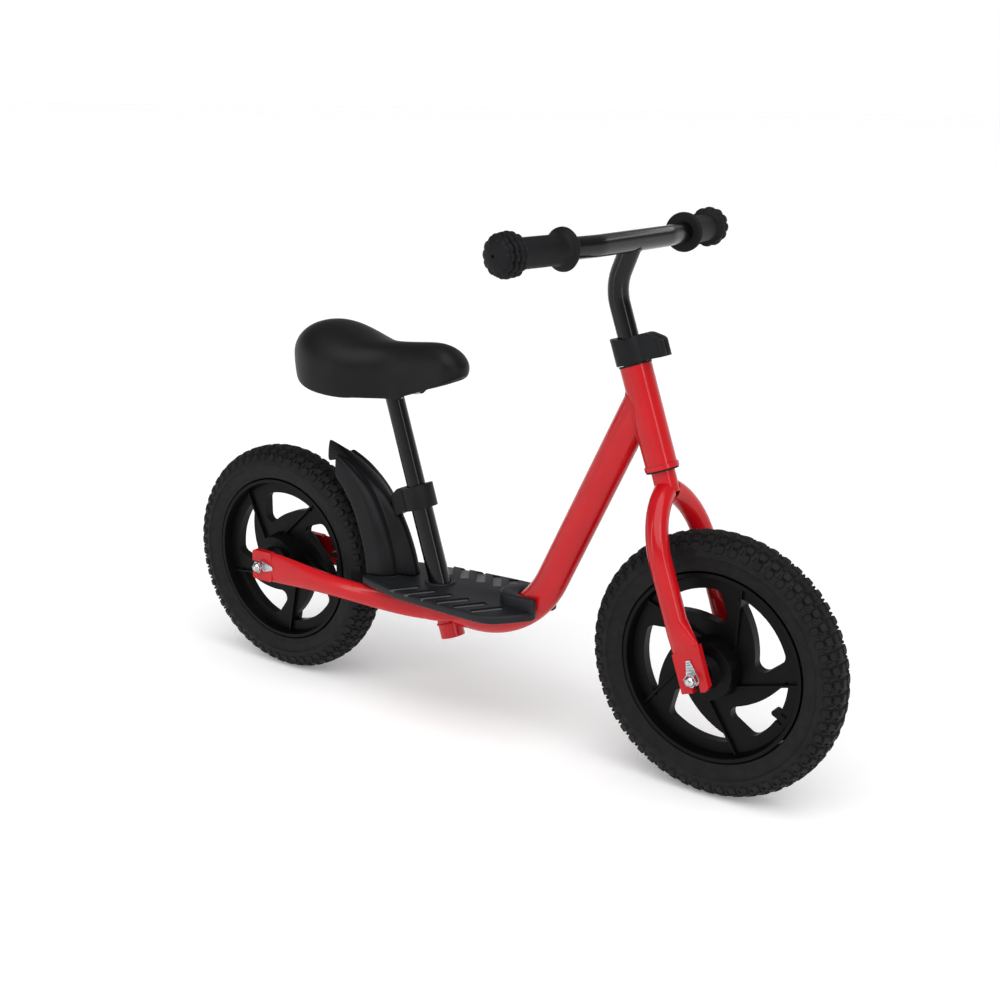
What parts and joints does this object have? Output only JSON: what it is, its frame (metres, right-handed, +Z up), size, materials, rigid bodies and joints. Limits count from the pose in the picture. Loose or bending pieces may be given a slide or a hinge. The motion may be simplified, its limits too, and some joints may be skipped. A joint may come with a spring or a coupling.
{
  "type": "balance bike",
  "caption": "Child's balance bike: bent oval down tube, foam-tyred wheels, footrest, rear mudguard, height-adjustable saddle and bar, and a steering fork.",
  "frame": {"origin": "on the ground, midway between the two axles", "axes": "+X is forward, +Y is to the rider's left, +Z is up"},
  "size_m": [0.897, 0.4348, 0.5987],
  "materials": {
    "red_paint": "gloss enamel over steel tube",
    "black_paint": "gloss black enamel over steel tube",
    "zinc": "bright zinc plate",
    "eva_foam": "closed-cell EVA foam, matte with moulded tread",
    "rim_plastic": "fine-grained black polypropylene",
    "deck_plastic": "moulded black polypropylene, satin",
    "clamp_plastic": "moulded black nylon",
    "grip_rubber": "soft moulded rubber",
    "saddle_skin": "matte black PU skin over foam"
  },
  "bodies": {
    "frame": {"head_tube": "red_paint", "down_tube": "red_paint", "left_stay": "red_paint", "right_stay": "red_paint", "seat_sleeve": "red_paint", "seat_tube": "black_paint", "seat_clamp": "clamp_plastic", "seat_clamp_bolt": "zinc", "seat_clamp_nut": "zinc", "upper_headset_bush": "clamp_plastic", "lower_headset_bush": "clamp_plastic", "deck_bracket": "red_paint", "deck_screws": "zinc", "footrest": "deck_plastic", "mudguard": "deck_plastic", "rear_axle": "zinc", "rear_cone_nuts": "zinc", "rear_tab_washers": "zinc", "rear_dome_nuts": "zinc"},
    "fork": {"steerer": "red_paint", "left_fork_leg": "red_paint", "right_fork_leg": "red_paint", "handlebar_clamp": "clamp_plastic", "handlebar_clamp_bolt": "zinc", "handlebar_clamp_nut": "zinc", "front_axle": "zinc", "front_cone_nuts": "zinc", "front_tab_washers": "zinc", "front_dome_nuts": "zinc"},
    "handlebar": {"stem": "black_paint", "handlebar_tube": "black_paint", "left_grip": "grip_rubber", "right_grip": "grip_rubber"},
    "saddle": {"seat_post": "black_paint", "saddle_plate": "black_paint", "saddle_screws": "zinc", "saddle_base": "clamp_plastic", "saddle_cover": "saddle_skin"},
    "front_wheel": {"front_tyre": "eva_foam", "front_rim": "rim_plastic", "front_bearings": "zinc"},
    "rear_wheel": {"rear_tyre": "eva_foam", "rear_rim": "rim_plastic", "rear_bearings": "zinc"}
  },
  "joints": [
    {"name": "steering", "type": "hinge", "parent": "frame", "child": "fork", "pos_m": [0.22873, 0, 0.34451], "axis": [-0.3289, 0, 0.9444], "range_deg": [-90, 90]},
    {"name": "handlebar_height", "type": "slide", "parent": "fork", "child": "handlebar", "axis": [-0.3289, 0, 0.9444], "range_m": [-0.03, 0.025]},
    {"name": "saddle_height", "type": "slide", "parent": "frame", "child": "saddle", "axis": [-0.3007, 0, 0.9537], "range_m": [-0.05, 0.04]},
    {"name": "front_wheel_spin", "type": "hinge", "parent": "fork", "child": "front_wheel", "pos_m": [0.3035, 0, 0.145], "axis": [0, 1, 0], "continuous": true},
    {"name": "rear_wheel_spin", "type": "hinge", "parent": "frame", "child": "rear_wheel", "pos_m": [-0.3035, 0, 0.145], "axis": [0, 1, 0], "continuous": true}
  ]
}
